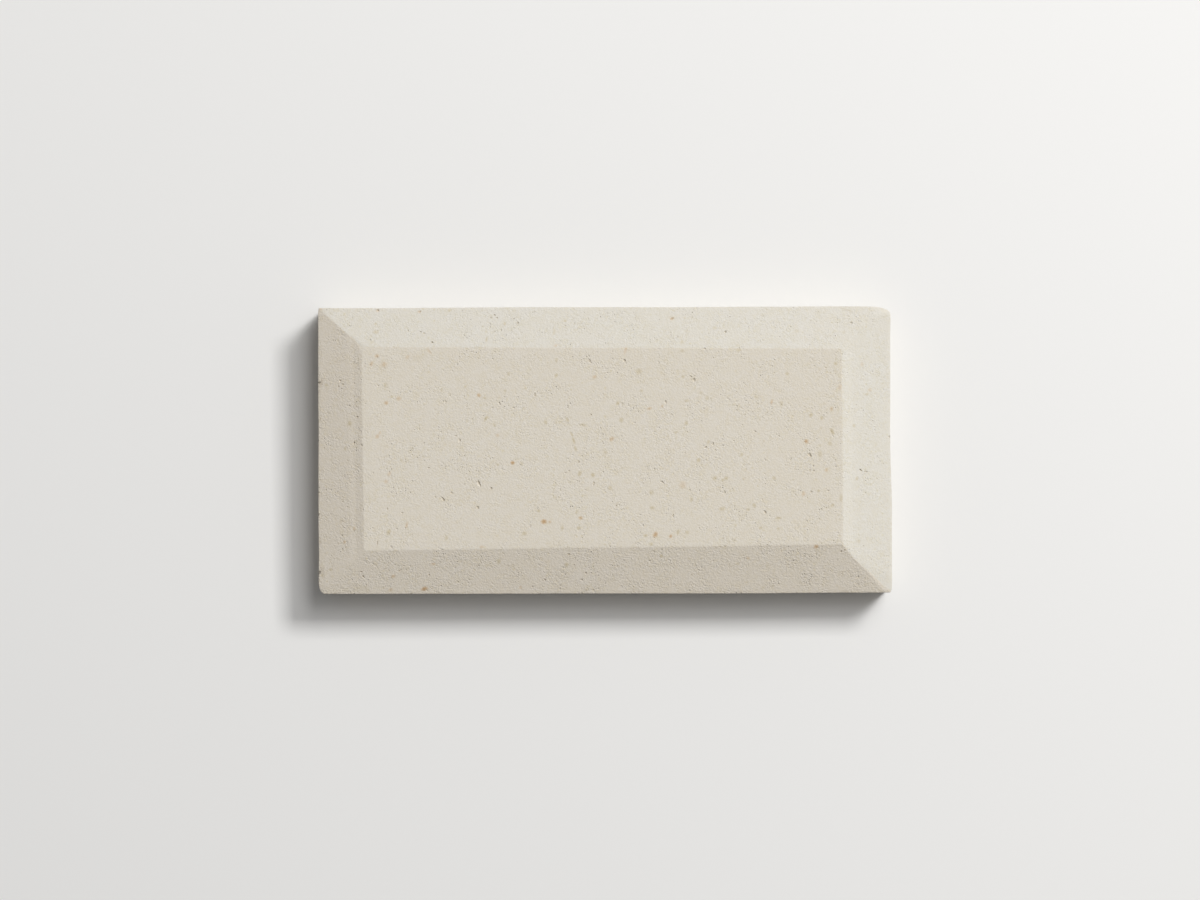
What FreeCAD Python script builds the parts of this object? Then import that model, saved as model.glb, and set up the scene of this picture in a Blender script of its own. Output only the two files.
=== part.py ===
import FreeCAD, Part
import enum
import math
import os
import Sketcher

# A bevelled wall tile sawn and honed from one piece of limestone, in millimetres.
# The origin is the middle of the flat back. +X runs along the tile, +Y up the wall that
# it is laid on, and +Z out of its face.

doc = FreeCAD.newDocument("SubwayWallTile")

# Driving sizes, one row each: alias, value, what it measures
size_rows = [
    ("length", 152.4, "long side of the blank"),
    ("width", 76.2, "short side of the blank"),
    ("thickness", 15.0, "flat back to raised field"),
    ("left_bevel_run", 12.2, "left bevel in plan, at the middle of its outer edge"),
    ("right_bevel_run", 13.65, "right bevel in plan, at the middle of its outer edge"),
    ("upper_bevel_run", 11.35, "upper bevel in plan, at the middle of its outer edge"),
    ("lower_bevel_run", 12.3, "lower bevel in plan, at the middle of its outer edge"),
    ("left_bevel_drop", 2.95, "fall of the left bevel, from the field to the middle of its outer edge"),
    ("right_bevel_drop", 3.5, "fall of the right bevel, from the field to the middle of its outer edge"),
    ("upper_bevel_drop", 3.0, "fall of the upper bevel, from the field to the middle of its outer edge"),
    ("lower_bevel_drop", 3.5, "fall of the lower bevel, from the field to the middle of its outer edge"),
    ("left_bevel_skew", 0.7, "degrees by which the left cut is turned about +Z"),
    ("right_bevel_skew", 0.3, "degrees by which the right cut is turned about +Z"),
    ("upper_bevel_skew", -0.32, "degrees by which the upper cut is turned about +Z"),
    ("lower_bevel_skew", 0.77, "degrees by which the lower cut is turned about +Z"),
    ("left_strip_run", 2.1, "steeper strip of the left bevel beside the field, in plan"),
    ("left_strip_drop", 0.6, "fall of that strip"),
    ("right_strip_run", 2.7, "steeper strip of the right bevel beside the field, in plan"),
    ("right_strip_drop", 0.95, "fall of that strip"),
    ("upper_left_radius", 0.5, "rounding of the upper left corner in plan"),
    ("upper_right_radius", 2.4, "rounding of the upper right corner in plan"),
    ("lower_left_radius", 1.7, "rounding of the lower left corner in plan"),
    ("lower_right_radius", 0.9, "rounding of the lower right corner in plan"),
    ("field_arris_radius", 1.5, "easing of the edge all round the raised field"),
]

sizes = doc.addObject("Spreadsheet::Sheet", "Sizes")
for row, (alias, value, meaning) in enumerate(size_rows, start=1):
    sizes.set(f"A{row}", meaning)
    sizes.set(f"B{row}", str(value))
    sizes.setAlias(f"B{row}", alias)
doc.recompute()

# Sketch helpers: the two ends of a line or an arc, and a sketch's own origin and upright axis
class End(enum.IntEnum):
    START = 1
    FINISH = 2


class Own(enum.IntEnum):
    ORIGIN = -1
    UPRIGHT_AXIS = -2


def sketch_on(body, name, role):
    plane = next(feature for feature in body.Origin.OriginFeatures if feature.Role == role)
    sketch = body.newObject("Sketcher::SketchObject", name)
    sketch.AttachmentSupport = (plane, [""])
    sketch.MapMode = "FlatFace"
    return sketch


def bind(sketch, constraint, expression):
    index = sketch.addConstraint(constraint)
    sketch.setExpression(f"Constraints[{index}]", expression)


def place_across(sketch, geometry, end, expression):
    across = sketch.getPoint(geometry, end).x
    bind(sketch, Sketcher.Constraint("DistanceX", Own.ORIGIN, End.START, geometry, end, across), expression)


def place_up(sketch, geometry, end, expression):
    up = sketch.getPoint(geometry, end).y
    bind(sketch, Sketcher.Constraint("DistanceY", Own.ORIGIN, End.START, geometry, end, up), expression)


# The blank: a sawn rectangle with each corner rounded as far as it is worn
def blank_sketch(body):
    sketch = sketch_on(body, "BlankOutline", "XY_Plane")
    corners = [
        ("upper_right_radius", 1, 1),
        ("upper_left_radius", -1, 1),
        ("lower_left_radius", -1, -1),
        ("lower_right_radius", 1, -1),
    ]
    arcs = []
    for quarter, (alias, right, up) in enumerate(corners):
        radius = sizes.get(alias)
        centre_x = right * (sizes.length / 2 - radius)
        centre_y = up * (sizes.width / 2 - radius)
        circle = Part.Circle(FreeCAD.Vector(centre_x, centre_y, 0), FreeCAD.Vector(0, 0, 1), radius)
        start_angle = quarter * math.pi / 2
        arc = sketch.addGeometry(Part.ArcOfCircle(circle, start_angle, start_angle + math.pi / 2))
        bind(sketch, Sketcher.Constraint("Radius", arc, radius), f"Sizes.{alias}")
        arcs.append(arc)
    upper_right, upper_left, lower_left, lower_right = arcs
    for arc, following in zip(arcs, arcs[1:] + arcs[:1]):
        line = Part.LineSegment(sketch.getPoint(arc, End.FINISH), sketch.getPoint(following, End.START))
        side = sketch.addGeometry(line)
        sketch.addConstraint(Sketcher.Constraint("Tangent", arc, End.FINISH, side, End.START))
        sketch.addConstraint(Sketcher.Constraint("Tangent", side, End.FINISH, following, End.START))
        along = "Horizontal" if arc in (upper_right, lower_left) else "Vertical"
        sketch.addConstraint(Sketcher.Constraint(along, side))
    place_across(sketch, upper_right, End.START, "Sizes.length / 2")
    place_across(sketch, lower_left, End.START, "-Sizes.length / 2")
    place_up(sketch, upper_right, End.FINISH, "Sizes.width / 2")
    place_up(sketch, lower_left, End.FINISH, "-Sizes.width / 2")
    return sketch


# A bevel's section: the wedge that its cut takes away, drawn from the middle of the outer edge.
# x is 0 at the outer edge and y is the height above the back. The wedge stands clear of the
# blank by the bevel's own drop, outwards and upwards. The section is turned by the cut's skew,
# so that the bevel is wider at one end. A strip beside the field is steeper than the rest.
def bevel_sketch(body, side, role, half_size, outward, has_strip):
    sketch = sketch_on(body, f"{side.capitalize()}BevelSection", role)
    skew = FreeCAD.Rotation(FreeCAD.Vector(0, 1, 0), sizes.get(f"{side}_bevel_skew"))
    sketch.AttachmentOffset = FreeCAD.Placement(FreeCAD.Vector(), skew)
    sketch.setExpression("AttachmentOffset.Base.x", f"{outward} * {half_size}")
    sketch.setExpression("AttachmentOffset.Rotation.Angle", f"Sizes.{side}_bevel_skew")

    run = sizes.get(f"{side}_bevel_run")
    drop = sizes.get(f"{side}_bevel_drop")
    top = sizes.thickness
    field_edge = FreeCAD.Vector(-outward * run, top, 0)
    outer_edge = FreeCAD.Vector(0, top - drop, 0)
    face_start = field_edge
    if has_strip:
        strip_run = sizes.get(f"{side}_strip_run")
        strip_drop = sizes.get(f"{side}_strip_drop")
        face_start = FreeCAD.Vector(-outward * (run - strip_run), top - strip_drop, 0)
    face_slope = (outer_edge.y - face_start.y) / (outer_edge.x - face_start.x)
    wedge = [
        face_start,
        FreeCAD.Vector(outward * drop, outer_edge.y + face_slope * outward * drop, 0),
        FreeCAD.Vector(outward * drop, top + drop, 0),
        FreeCAD.Vector(-outward * run, top + drop, 0),
    ]
    if has_strip:
        wedge.append(field_edge)
    lines = []
    for here, there in zip(wedge, wedge[1:] + wedge[:1]):
        lines.append(sketch.addGeometry(Part.LineSegment(here, there)))
    for line, following in zip(lines, lines[1:] + lines[:1]):
        sketch.addConstraint(Sketcher.Constraint("Coincident", line, End.FINISH, following, End.START))
    face, outer, over, inner = lines[:4]
    sketch.addConstraint(Sketcher.Constraint("Vertical", outer))
    sketch.addConstraint(Sketcher.Constraint("Horizontal", over))
    sketch.addConstraint(Sketcher.Constraint("Vertical", inner))

    place_across(sketch, inner, End.FINISH, f"{-outward} * Sizes.{side}_bevel_run")
    place_up(sketch, inner, End.FINISH, "Sizes.thickness")
    place_across(sketch, over, End.START, f"{outward} * Sizes.{side}_bevel_drop")
    place_up(sketch, over, End.START, f"Sizes.thickness + Sizes.{side}_bevel_drop")
    if has_strip:
        strip_end = f"{-outward} * (Sizes.{side}_bevel_run - Sizes.{side}_strip_run)"
        place_across(sketch, face, End.START, strip_end)
        place_up(sketch, face, End.START, f"Sizes.thickness - Sizes.{side}_strip_drop")
    edge_point = sketch.addGeometry(Part.Point(outer_edge), True)
    sketch.addConstraint(Sketcher.Constraint("PointOnObject", edge_point, End.START, face))
    sketch.addConstraint(Sketcher.Constraint("PointOnObject", edge_point, End.START, Own.UPRIGHT_AXIS))
    place_up(sketch, edge_point, End.START, f"Sizes.thickness - Sizes.{side}_bevel_drop")
    return sketch


def cut_bevel(body, side, role, half_size, outward, has_strip):
    before = body.Shape.Volume
    section = bevel_sketch(body, side, role, half_size, outward, has_strip)
    cut = body.newObject("PartDesign::Pocket", f"{side.capitalize()}Bevel")
    cut.Profile = section
    cut.Type = "ThroughAll"
    cut.SideType = "Symmetric"
    doc.recompute()
    if not body.Shape.Volume < before:
        raise RuntimeError(f"the {side} bevel cuts nothing")


# The arris round the raised field is rubbed down; the mitred hips between bevels stay crisp
def ease_field_arris(body):
    base = body.Tip
    field = max(base.Shape.Faces, key=lambda face: face.CenterOfMass.z)
    rim = []
    for number, edge in enumerate(base.Shape.Edges, start=1):
        if any(edge.isSame(field_edge) for field_edge in field.Edges):
            rim.append(f"Edge{number}")
    easing = body.newObject("PartDesign::Fillet", "FieldArris")
    easing.Base = (base, rim)
    easing.setExpression("Radius", "Sizes.field_arris_radius")


tile = doc.addObject("PartDesign::Body", "Tile")
tile.Label = "tile"
blank_outline = blank_sketch(tile)
blank = tile.newObject("PartDesign::Pad", "Blank")
blank.Profile = blank_outline
blank.setExpression("Length", "Sizes.thickness")
doc.recompute()

# Each bevel: side, plane of its section, half the size across it, its way out, whether it has a strip
bevels = [
    ("left", "XZ_Plane", "Sizes.length / 2", -1, True),
    ("right", "XZ_Plane", "Sizes.length / 2", 1, True),
    ("upper", "YZ_Plane", "Sizes.width / 2", 1, False),
    ("lower", "YZ_Plane", "Sizes.width / 2", -1, False),
]
for bevel in bevels:
    cut_bevel(tile, *bevel)
ease_field_arris(tile)
doc.recompute()

for thing in doc.Objects:
    if "Invalid" in thing.State or "Error" in thing.State:
        raise RuntimeError(f"{thing.Name} did not build")
if tile.Shape.isNull() or not tile.Shape.isValid():
    raise RuntimeError("the tile is not a valid solid")

os.makedirs("parts", exist_ok=True)
tile.Shape.exportStep(os.path.join("parts", f"{tile.Label}.step"))
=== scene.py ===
import math
import random

import bmesh
import bpy
import numpy as np
from mathutils import Matrix, Vector, geometry, noise
from mathutils.bvhtree import BVHTree


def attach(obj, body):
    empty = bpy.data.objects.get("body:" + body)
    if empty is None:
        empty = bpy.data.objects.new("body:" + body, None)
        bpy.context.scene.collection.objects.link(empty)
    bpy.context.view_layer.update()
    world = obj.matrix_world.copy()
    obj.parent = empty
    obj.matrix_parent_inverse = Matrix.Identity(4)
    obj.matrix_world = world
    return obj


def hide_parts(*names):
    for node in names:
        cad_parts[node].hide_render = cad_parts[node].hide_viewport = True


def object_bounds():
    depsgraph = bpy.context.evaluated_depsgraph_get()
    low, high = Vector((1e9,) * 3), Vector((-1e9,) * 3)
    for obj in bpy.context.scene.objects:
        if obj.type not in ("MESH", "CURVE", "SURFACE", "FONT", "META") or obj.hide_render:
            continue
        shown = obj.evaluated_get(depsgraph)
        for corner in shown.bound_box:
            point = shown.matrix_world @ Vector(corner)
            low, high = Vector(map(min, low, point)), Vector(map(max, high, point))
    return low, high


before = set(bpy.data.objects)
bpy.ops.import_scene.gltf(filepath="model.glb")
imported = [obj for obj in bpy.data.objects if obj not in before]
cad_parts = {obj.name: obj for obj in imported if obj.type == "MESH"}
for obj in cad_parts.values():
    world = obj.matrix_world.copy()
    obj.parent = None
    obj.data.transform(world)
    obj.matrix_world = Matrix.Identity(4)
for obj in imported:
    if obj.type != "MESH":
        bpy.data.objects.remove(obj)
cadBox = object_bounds()
mm = 0.001  # lengths below are millimetres until a mesh or a lamp is made

# How the photograph was framed, and how its pixels fall on the tile
photo = {
    "size": (1200, 900),         # pixels
    "pixelsPerMm": 3.776,        # at the height of the tile's outer edge
    "tileCentre": (605.4, 450.1),  # pixel over the middle of the tile
    "lens": 100,                 # mm on a 36 mm sensor
    "sensor": 36,
}


def mix(a, b, share):
    return a + (b - a) * share


def onTile(across, down, above=0):
    # pixel of the photograph to mm from the tile's middle, at a height above the outer edge
    distance = photo["size"][0] / photo["pixelsPerMm"] * photo["lens"] / photo["sensor"]
    nearer = 1 - above / distance
    middle = photo["size"][0] / 2, photo["size"][1] / 2
    x = (middle[0] - photo["tileCentre"][0] + (across - middle[0]) * nearer) / photo["pixelsPerMm"]
    y = (photo["tileCentre"][1] - middle[1] + (middle[1] - down) * nearer) / photo["pixelsPerMm"]
    return x, y


# The tile's form, in mm. The ends of a side run left to right or top to bottom.
tileForm = {
    "edgeDrop": {       # field down to the outer edge, at each corner
        "upperLeft": 2.5,
        "upperRight": 2.9,
        "lowerRight": 3.9,
        "lowerLeft": 3.3,
    },
    "sideInset": {      # sides inside the box, at even steps from one end to the other
        "upper": (0.5, 0.48, 0.28, 0.24, 0.21, 0.1, 0.0),
        "right": (0.74, 0.73, 0.76, 0.71, 0.31, 0.28, 0.22),
        "lower": (0.0, 0.0, 0.06, 0.13, 0.36),
        "left": (0.14, 0.2, 0.25),
    },
    "fieldInset": {     # edge of the raised field inside the box, at both ends
        "upper": (10.86, 11.42),
        "right": (13.84, 13.45),
        "lower": (11.45, 13.47),
        "left": (11.7, 12.64),
    },
    "breaks": {         # changes of slope, as run and drop outwards from the field
        "upper": (),
        "right": ((2.7, 0.94), (4.2, 1.34)),
        "lower": ((10.1, 2.93),),
        "left": ((2.1, 0.6), (3.5, 0.855)),
    },
    "cornerCut": {      # outer corners worn back along the long and the short side
        "upperRight": (7.0, 2.3),
        "lowerRight": (0.7, 2.8),
        "lowerLeft": (1.9, 3.6),
        "upperLeft": (0.35, 2.6),
    },
    "cornerFade": {"upperRight": 0.2, "lowerRight": 0.1, "lowerLeft": 0.2, "upperLeft": 0.2},
    "fieldCornerCut": {"upperRight": 0.7, "lowerRight": 0.6, "lowerLeft": 0.7, "upperLeft": 2.2},
    "hipShift": (2.0, 5.0),  # lower right hip runs out this far left of its corner, bending the right bevel
    "hipCut": 0.35,     # softness of the mitred hips
    "fieldArris": 1.6,  # radius round the raised field
    "outerArris": 0.16,
    "backArris": 0.35,
    "wobble": 0.05,     # hand-worked unevenness of every edge
    "longStations": 150,
    "shortStations": 76,
    "cornerStations": 7,
    "fieldSpacing": 2.6,
    "fieldSeed": 5,
    "fieldCornerFade": 0.32,  # share of the fall over which the field's corner cuts fade into the hips
}

halfLong = cadBox[1].x / mm
halfShort = cadBox[1].y / mm
thick = cadBox[1].z / mm
edgeLevel = thick - sum(tileForm["edgeDrop"].values()) / 4
lowestEdge = thick - max(tileForm["edgeDrop"].values())
sideOrder = ("upper", "right", "lower", "left")  # clockwise from the upper left corner
sideEnds = {
    "upper": ("upperLeft", "upperRight"),
    "right": ("upperRight", "lowerRight"),
    "lower": ("lowerLeft", "lowerRight"),
    "left": ("upperLeft", "lowerLeft"),
}
cornerBefore = dict(zip(sideOrder, ("upperLeft", "upperRight", "lowerRight", "lowerLeft")))
cornerAfter = dict(zip(sideOrder, ("upperRight", "lowerRight", "lowerLeft", "upperLeft")))
longSides = ("upper", "lower")
outward = {"upper": (0, 1, 0), "right": (1, 0, 0), "lower": (0, -1, 0), "left": (-1, 0, 0)}


def outerInset(side, along):
    insets = tileForm["sideInset"][side]
    return float(np.interp(along, np.linspace(0, 1, len(insets)), insets))


def fieldInset(side, along):
    return mix(*tileForm["fieldInset"][side], along)


def edgeDrop(side, along):
    start, end = sideEnds[side]
    return mix(tileForm["edgeDrop"][start], tileForm["edgeDrop"][end], along)


def bevelRun(side):
    return fieldInset(side, 0.5) - outerInset(side, 0.5)


def alongSide(side, x, y):
    return (x / halfLong + 1) / 2 if side in longSides else (1 - y / halfShort) / 2


def profile(side):
    # run and drop of a bevel from the field's edge to the outer edge, half-way along its side
    return ((0, 0), *tileForm["breaks"][side], (bevelRun(side), edgeDrop(side, 0.5)))


def runAtDrop(side, drop):
    # how far outside the field's edge the bevel has fallen this far, with the arris rounded
    radius = tileForm["fieldArris"]
    steps = profile(side)
    slope = math.atan2(steps[1][1], steps[1][0])
    turned = math.acos(max(-1, 1 - drop / radius))
    if turned < slope:
        return radius * math.sin(turned) - radius * math.tan(slope / 2)
    for (runA, dropA), (runB, dropB) in zip(steps, steps[1:]):
        if drop <= dropB:
            return mix(runA, runB, (drop - dropA) / (dropB - dropA))
    return steps[-1][0]


def dropAtRun(side, run):
    for (runA, dropA), (runB, dropB) in zip(profile(side), profile(side)[1:]):
        if run <= runB:
            return mix(dropA, dropB, (run - runA) / (runB - runA))
    return edgeDrop(side, 0.5)


def boxInsets(x, y):
    # how far a point lies inside each side of the box
    return {"upper": halfShort - y, "lower": halfShort + y, "left": halfLong + x, "right": halfLong - x}


def lowestSide(x, y):
    # the bevel that lies lowest at a point of the face, and its drop there
    lowest = "upper", 0
    for side, inset in boxInsets(x, y).items():
        along = alongSide(side, x, y)
        outer, field = outerInset(side, along), fieldInset(side, along)
        if inset < field:
            fallen = dropAtRun(side, bevelRun(side) * (field - inset) / (field - outer))
            drop = fallen * edgeDrop(side, along) / edgeDrop(side, 0.5)
            if drop > lowest[1]:
                lowest = side, drop
    return lowest


def surfaceAt(x, y):
    return thick - lowestSide(x, y)[1]


def normalAt(x, y, reach=0.05):
    across = (surfaceAt(x + reach, y) - surfaceAt(x - reach, y)) / (2 * reach)
    up = (surfaceAt(x, y + reach) - surfaceAt(x, y - reach)) / (2 * reach)
    return Vector((-across, -up, 1)).normalized()


def insideBox(side, along, inset):
    # plan position at a share along a side of the box, this far inside it
    x, y = mix(-halfLong, halfLong, along), mix(halfShort, -halfShort, along)
    if side in longSides:
        y = outward[side][1] * (halfShort - inset)
    else:
        x = outward[side][0] * (halfLong - inset)
    return Vector((x, y))


def sidePoint(side, along, row):
    # plan position on one side of a ring
    outer, field = outerInset(side, along), fieldInset(side, along)
    inset = mix(field, outer, row["run"][side] / bevelRun(side)) + row["in"][side]
    return insideBox(side, along, inset)


def cornerPoint(across, upright, row):
    # where a long side and a short side of the same ring meet
    x = sidePoint(upright, 0 if across == "upper" else 1, row).x
    for _ in range(3):
        y = sidePoint(across, alongSide(across, x, 0), row).y
        x = sidePoint(upright, alongSide(upright, 0, y), row).x
    return Vector((x, y))


def ringPoints(row):
    # one closed ring of the tile, clockwise, with the same number of points at every height
    corner = {
        "upperRight": cornerPoint("upper", "right", row),
        "lowerRight": cornerPoint("lower", "right", row),
        "lowerLeft": cornerPoint("lower", "left", row),
        "upperLeft": cornerPoint("upper", "left", row),
    }
    corner["lowerRight"].x -= row["shift"]

    def onSide(side, place):
        axis = 0 if side in longSides else 1
        plan = sidePoint(side, alongSide(side, place, place), row)
        plan[axis] = place
        return plan

    def lifted(side, plan):
        edge = thick - edgeDrop(side, alongSide(side, *plan))
        return Vector((*plan, row["height"](side, edge)))

    def cutBack(side, name, way):
        axis = 0 if side in longSides else 1
        return corner[name][axis] + way * row["cut"][name][axis]

    points = []
    for side, following in zip(sideOrder, sideOrder[1:] + sideOrder[:1]):
        way = 1 if side in ("upper", "left") else -1
        start = cutBack(side, cornerBefore[side], way)
        end = cutBack(side, cornerAfter[side], -way)
        count = tileForm["longStations" if side in longSides else "shortStations"]
        for station in range(count):
            plan = onSide(side, mix(start, end, station / (count - 1)))
            points.append(lifted(side, plan))
        lead = points[-1]
        turn = corner[cornerAfter[side]]
        nextWay = 1 if following in ("upper", "left") else -1
        settled = lifted(following, onSide(following, cutBack(following, cornerAfter[side], nextWay)))
        turn = Vector((*turn, (lead.z + settled.z) / 2))
        for station in range(1, tileForm["cornerStations"] + 1):
            t = station / (tileForm["cornerStations"] + 1)
            points.append(lead * (1 - t) ** 2 + turn * 2 * t * (1 - t) + settled * t ** 2)
    return points


def tileRows():
    # every ring of the tile, from the back up to the raised field
    rows = []
    fullRun = {side: bevelRun(side) for side in sideOrder}
    outerCuts = tileForm["cornerCut"]
    back, arris = tileForm["backArris"], tileForm["outerArris"]

    def addRow(runs, inward, cuts, height, shift=0):
        rows.append({"run": runs, "in": inward, "cut": cuts, "height": height, "shift": shift})

    def evenly(value):
        return {side: value for side in sideOrder}

    def lastSlope(side):
        (runA, dropA), (runB, dropB) = profile(side)[-2:]
        return math.atan2(dropB - dropA, runB - runA)

    for share in (0, 0.35, 1):
        addRow(fullRun, evenly(back * (1 - share) ** 2), outerCuts, lambda side, edge, s=share: back * s ** 2)
    for share in (0.2, 0.4, 0.6, 0.8):
        addRow(fullRun, evenly(0), outerCuts, lambda side, edge, s=share: mix(back, edge - arris, s))
    for t in (0, 0.25, 0.5, 0.75, 1):  # rounded outer arris, from the side on to the bevel
        inward = {side: arris * math.cos(lastSlope(side)) * t ** 2 for side in sideOrder}
        addRow(fullRun, inward, outerCuts, lambda side, edge, t=t: (
            edge - arris * (1 - t) ** 2 + arris * math.sin(lastSlope(side)) * t ** 2))
    shares = (0.92, 0.86, 0.814, 0.74, 0.65, 0.56, 0.47, 0.383, 0.335,  # of the fall to the outer edge
              0.287, 0.278, 0.24, 0.2, 0.165, 0.13, 0.1, 0.075)
    radius = tileForm["fieldArris"]
    steepest = max(math.atan2(profile(side)[1][1], profile(side)[1][0]) for side in sideOrder)
    arrisDrops = [radius * (1 - math.cos(steepest * share)) for share in (1, 0.8, 0.6, 0.4, 0.2, 0)]
    usual = edgeDrop("upper", 0.5)
    for share in (*shares, *[drop / usual for drop in arrisDrops]):
        runs = {side: runAtDrop(side, share * edgeDrop(side, 0.5)) for side in sideOrder}
        nearField = max(0, 1 - share / tileForm["fieldCornerFade"]) ** 1.5
        aside, reach = tileForm["hipShift"]
        cuts = {}
        for name, outerCut in outerCuts.items():
            nearOuter = max(0, 1 - (1 - share) / tileForm["cornerFade"][name]) ** 1.5
            inner = mix(tileForm["hipCut"], tileForm["fieldCornerCut"][name], nearField)
            inners = (inner, max(inner, reach * share ** 2) if name == "lowerRight" else inner)
            cuts[name] = tuple(mix(a, b, nearOuter) for a, b in zip(inners, outerCut))
            if name == "lowerRight":
                shift = aside * share ** 4 * (1 - nearOuter)
        addRow(runs, evenly(0), cuts, lambda side, edge, s=share: mix(thick, edge, s), shift)
    return rows


def wobbled(point):
    # slow unevenness of a hand-finished edge, fading out at the back, kept inside the box
    amount = tileForm["wobble"] * min(1, point.z / 2)
    apart = Vector((40, 7, 3))
    slow, quick = point * 0.09, point * 0.55
    x = point.x + amount * (1.6 * noise.noise(slow) + 0.7 * noise.noise(quick))
    y = point.y + amount * (1.6 * noise.noise(slow + apart) + 0.7 * noise.noise(quick + apart))
    return Vector((max(-halfLong, min(halfLong, x)), max(-halfShort, min(halfShort, y)), point.z))


def capTriangles(rim, spacing, draw):
    # fills a flat ring with even triangles
    coords = [p.xy for p in rim]
    edges = [(i, (i + 1) % len(rim)) for i in range(len(rim))]
    low = Vector((min(p.x for p in coords), min(p.y for p in coords)))
    high = Vector((max(p.x for p in coords), max(p.y for p in coords)))
    columns, lines = int((high.x - low.x) / spacing), int((high.y - low.y) / spacing)
    for line in range(1, lines):
        for column in range(1, columns):
            x = mix(low.x, high.x, (column + 0.5 * (line % 2) + draw.uniform(-0.2, 0.2)) / columns)
            y = mix(low.y, high.y, (line + draw.uniform(-0.2, 0.2)) / lines)
            if low.x + spacing * 0.6 < x < high.x - spacing * 0.6:
                coords.append(Vector((x, y)))
    filled = geometry.delaunay_2d_cdt(coords, edges, [], 1, 1e-6)
    return filled[0], filled[2]


def tileBlank():
    # closed mesh of the tile before its pits
    rings = [[wobbled(p) for p in ringPoints(row)] for row in tileRows()]
    count = len(rings[0])
    verts = [p for ring in rings for p in ring]
    faces = []
    for level in range(len(rings) - 1):
        here, above = level * count, (level + 1) * count
        for i in range(count):
            j = (i + 1) % count
            faces.append((here + i, above + i, above + j, here + j))
    draw = random.Random(tileForm["fieldSeed"])
    for start, height, upward in ((0, 0, False), ((len(rings) - 1) * count, thick, True)):
        coords, triangles = capTriangles(verts[start:start + count], tileForm["fieldSpacing"], draw)
        index = [start + k for k in range(count)]
        for p in coords[count:]:
            index.append(len(verts))
            verts.append(Vector((*p, height)))
        for triangle in triangles:
            loop = [index[k] for k in triangle]
            faces.append(loop if upward else loop[::-1])
    mesh = bpy.data.meshes.new("limestoneTile")
    mesh.from_pydata([p * mm for p in verts], [], faces)
    mesh.shade_smooth()
    return mesh


tile = bpy.data.objects.new("limestoneTile", tileBlank())
bpy.context.collection.objects.link(tile)
print("tile blank:", len(tile.data.polygons), "faces")

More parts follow.
